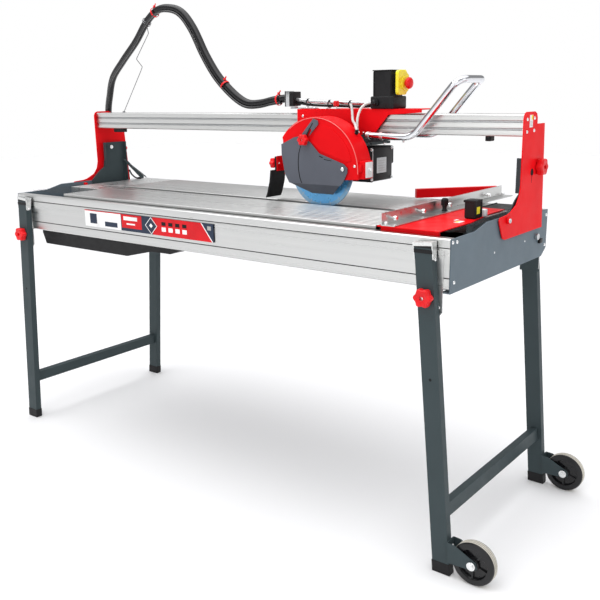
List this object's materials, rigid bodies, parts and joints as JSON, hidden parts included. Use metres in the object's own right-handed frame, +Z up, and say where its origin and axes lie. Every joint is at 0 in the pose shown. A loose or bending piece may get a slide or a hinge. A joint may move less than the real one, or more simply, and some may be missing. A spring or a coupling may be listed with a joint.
{
  "type": "bridge tile saw",
  "caption": "Long-bed wet tile saw: cutting head on rollers along a tilting beam over ribbed tables and a water tray, on folding legs with transport wheels.",
  "frame": {"origin": "on the floor, under the middle of the machine's overall footprint, leaving out the two free hoses", "axes": "+X along the cutting line towards the wheeled end, +Y away from the operator, +Z up"},
  "size_m": [2.11, 0.832, 1.6396],
  "materials": {
    "aluminium": "satin anodised extrusion with fine lengthwise draw lines",
    "zinc": "bright zinc-plated sheet steel",
    "steel": "turned and drawn bare steel",
    "chrome": "polished chrome-plated tube",
    "red_paint": "smooth signal-red powder coat",
    "blue_grey_paint": "satin blue-grey powder coat",
    "dark_grey_paint": "satin dark grey-green powder coat",
    "cover_grey_paint": "satin mid-grey powder coat",
    "black_paint": "semi-gloss black painted casting",
    "black_plastic": "fine-grained moulded black plastic",
    "red_plastic": "moulded red plastic with a soft shine",
    "yellow_plastic": "moulded yellow plastic with a soft shine",
    "pale_hose": "milky flexible plastic tube",
    "rubber": "matt black rubber",
    "blade_blue": "blue lacquered steel disc with a sintered rim",
    "wheel_rubber": "solid black rubber tread on a moulded hub"
  },
  "bodies": {
    "frame": {"front_rail": "aluminium", "rear_rail": "aluminium", "side_plate_left": "blue_grey_paint", "side_plate_right": "blue_grey_paint", "front_table": "aluminium", "rear_table": "aluminium", "cross_plate_left": "zinc", "cross_plate_right": "zinc", "tower_left": "dark_grey_paint", "tower_right": "dark_grey_paint", "water_tray": "black_plastic", "water_pump": "black_plastic"},
    "gauge_slide": {"gauge_base": "red_paint", "gauge_clamp_box": "black_plastic"},
    "gauge_turn": {"gauge_fence": "aluminium", "gauge_arm": "red_paint"},
    "gauge_knob": {"gauge_knob": "black_plastic"},
    "bridge": {"upright_left": "red_paint", "upright_right": "red_paint", "beam": "aluminium", "travel_stop_left": "rubber", "travel_stop_right": "rubber", "hose_support_wire": "steel", "power_hose": "rubber"},
    "tilt_knob_left": {"tilt_knob_left": "red_plastic"},
    "tilt_knob_right": {"tilt_knob_right": "red_plastic"},
    "carriage": {"carriage_body": "red_paint", "switch_box": "black_plastic", "hose_carrier": "steel", "water_hose": "pale_hose"},
    "guide_roller_left": {"guide_roller_left": "black_plastic"},
    "guide_roller_right": {"guide_roller_right": "black_plastic"},
    "switch_cover": {"switch_cover": "yellow_plastic"},
    "stop_button": {"stop_button": "red_plastic"},
    "lock_knob": {"lock_knob": "red_plastic"},
    "head": {"head_arm": "dark_grey_paint", "handle": "chrome", "motor_housing": "black_paint", "blade_guard": "red_paint", "splash_flap": "rubber"},
    "spindle": {"motor_rotor": "steel", "blade": "blade_blue", "blade_flange": "steel"},
    "side_cover": {"side_cover": "cover_grey_paint"},
    "cover_knob": {"cover_knob": "red_plastic"},
    "flap_knob": {"flap_knob": "red_plastic"},
    "leg_left": {"leg_front_left": "dark_grey_paint", "leg_rear_left": "dark_grey_paint", "leg_crossbar_left": "dark_grey_paint"},
    "leg_right": {"leg_front_right": "dark_grey_paint", "leg_rear_right": "dark_grey_paint", "leg_crossbar_right": "dark_grey_paint", "wheel_fork_front": "dark_grey_paint", "wheel_fork_rear": "dark_grey_paint"},
    "leg_catch_left": {"leg_catch_left": "zinc"},
    "leg_catch_right": {"leg_catch_right": "zinc"},
    "leg_knob_left": {"leg_knob_left": "red_plastic"},
    "leg_knob_right": {"leg_knob_right": "red_plastic"},
    "wheel_front": {"wheel_front": "wheel_rubber"},
    "wheel_rear": {"wheel_rear": "wheel_rubber"}
  },
  "joints": [
    {"name": "bridge_tilt", "type": "hinge", "parent": "frame", "child": "bridge", "pos_m": [-0.06475, -0.041, 0.942], "axis": [1, 0, 0], "range_deg": [0, 45], "deforming": ["splash_flap"]},
    {"name": "carriage_travel", "type": "slide", "parent": "bridge", "child": "carriage", "axis": [1, 0, 0], "range_m": [-0.96, 0.25], "deforming": ["power_hose"]},
    {"name": "guide_roller_left_spin", "type": "hinge", "parent": "carriage", "child": "guide_roller_left", "pos_m": [0.13525, 0.1455, 1.205], "axis": [0, 0, 1], "continuous": true},
    {"name": "guide_roller_right_spin", "type": "hinge", "parent": "carriage", "child": "guide_roller_right", "pos_m": [0.25525, 0.1455, 1.205], "axis": [0, 0, 1], "continuous": true},
    {"name": "head_lift", "type": "hinge", "parent": "carriage", "child": "head", "pos_m": [0.09325, 0.106, 1.135], "axis": [0, -1, 0], "range_deg": [0, 4], "deforming": ["water_hose"]},
    {"name": "blade_spin", "type": "hinge", "parent": "head", "child": "spindle", "pos_m": [0.24685, -0.05, 1.06], "axis": [0, 1, 0], "continuous": true},
    {"name": "side_cover_swing", "type": "hinge", "parent": "head", "child": "side_cover", "pos_m": [0.36525, -0.0986, 1.068], "axis": [0, 1, 0], "range_deg": [-6, 0]},
    {"name": "cover_knob_turn", "type": "hinge", "parent": "head", "child": "cover_knob", "pos_m": [0.21885, -0.104, 1.1558], "axis": [0, -1, 0], "range_deg": [0, 180]},
    {"name": "flap_knob_turn", "type": "hinge", "parent": "head", "child": "flap_knob", "pos_m": [0.05325, -0.05, 1.072], "axis": [-1, 0, 0], "range_deg": [0, 180]},
    {"name": "switch_cover_lift", "type": "hinge", "parent": "carriage", "child": "switch_cover", "pos_m": [0.46275, 0.081, 1.366], "axis": [0, -1, 0], "range_deg": [0, 100]},
    {"name": "stop_button_press", "type": "slide", "parent": "switch_cover", "child": "stop_button", "axis": [-1, 0, 0], "range_m": [0, 0.004], "stiffness_N_per_m": 600, "springref_m": -0.003},
    {"name": "lock_knob_turn", "type": "hinge", "parent": "carriage", "child": "lock_knob", "pos_m": [0.23525, 0.049, 1.256], "axis": [0, 0, 1], "range_deg": [0, 180]},
    {"name": "tilt_knob_left_turn", "type": "hinge", "parent": "bridge", "child": "tilt_knob_left", "pos_m": [-1.02275, 0.188, 1.077], "axis": [-1, 0, 0], "range_deg": [0, 180]},
    {"name": "tilt_knob_right_turn", "type": "hinge", "parent": "bridge", "child": "tilt_knob_right", "pos_m": [0.89325, 0.161, 1.077], "axis": [1, 0, 0], "range_deg": [0, 180]},
    {"name": "gauge_travel", "type": "slide", "parent": "frame", "child": "gauge_slide", "axis": [1, 0, 0], "range_m": [-0.25, 0]},
    {"name": "gauge_angle", "type": "hinge", "parent": "gauge_slide", "child": "gauge_turn", "pos_m": [0.68725, -0.032, 0.9503], "axis": [0, 0, -1], "range_deg": [-12, 12]},
    {"name": "gauge_knob_turn", "type": "hinge", "parent": "gauge_turn", "child": "gauge_knob", "pos_m": [0.68725, -0.032, 0.954], "axis": [0, 0, 1], "range_deg": [0, 180]},
    {"name": "leg_fold_left", "type": "hinge", "parent": "frame", "child": "leg_left", "pos_m": [-0.95935, -0.044, 0.784], "axis": [0, -1, 0], "range_deg": [0, 85]},
    {"name": "leg_fold_right", "type": "hinge", "parent": "frame", "child": "leg_right", "pos_m": [0.82985, -0.044, 0.784], "axis": [0, 1, 0], "range_deg": [0, 85]},
    {"name": "leg_catch_left_swing", "type": "hinge", "parent": "leg_left", "child": "leg_catch_left", "pos_m": [-0.95025, -0.3795, 0.8886], "axis": [0.9962, 0, -0.0865], "range_deg": [0, 110]},
    {"name": "leg_catch_right_swing", "type": "hinge", "parent": "leg_right", "child": "leg_catch_right", "pos_m": [0.82075, -0.3795, 0.8886], "axis": [0.9962, 0, 0.0865], "range_deg": [0, 110]},
    {"name": "leg_knob_left_turn", "type": "hinge", "parent": "frame", "child": "leg_knob_left", "pos_m": [-0.95935, -0.3925, 0.784], "axis": [0, -1, 0], "range_deg": [0, 180]},
    {"name": "leg_knob_right_turn", "type": "hinge", "parent": "frame", "child": "leg_knob_right", "pos_m": [0.82985, -0.3925, 0.784], "axis": [0, -1, 0], "range_deg": [0, 180]},
    {"name": "wheel_front_spin", "type": "hinge", "parent": "leg_right", "child": "wheel_front", "pos_m": [0.99225, -0.379, 0.0625], "axis": [0, 1, 0], "continuous": true},
    {"name": "wheel_rear_spin", "type": "hinge", "parent": "leg_right", "child": "wheel_rear", "pos_m": [0.99225, 0.291, 0.0625], "axis": [0, 1, 0], "continuous": true}
  ],
  "couplings": [
    {"joint": "guide_roller_left_spin", "follows": "carriage_travel", "rad_per_m": -60.606},
    {"joint": "guide_roller_right_spin", "follows": "carriage_travel", "rad_per_m": -60.606}
  ]
}
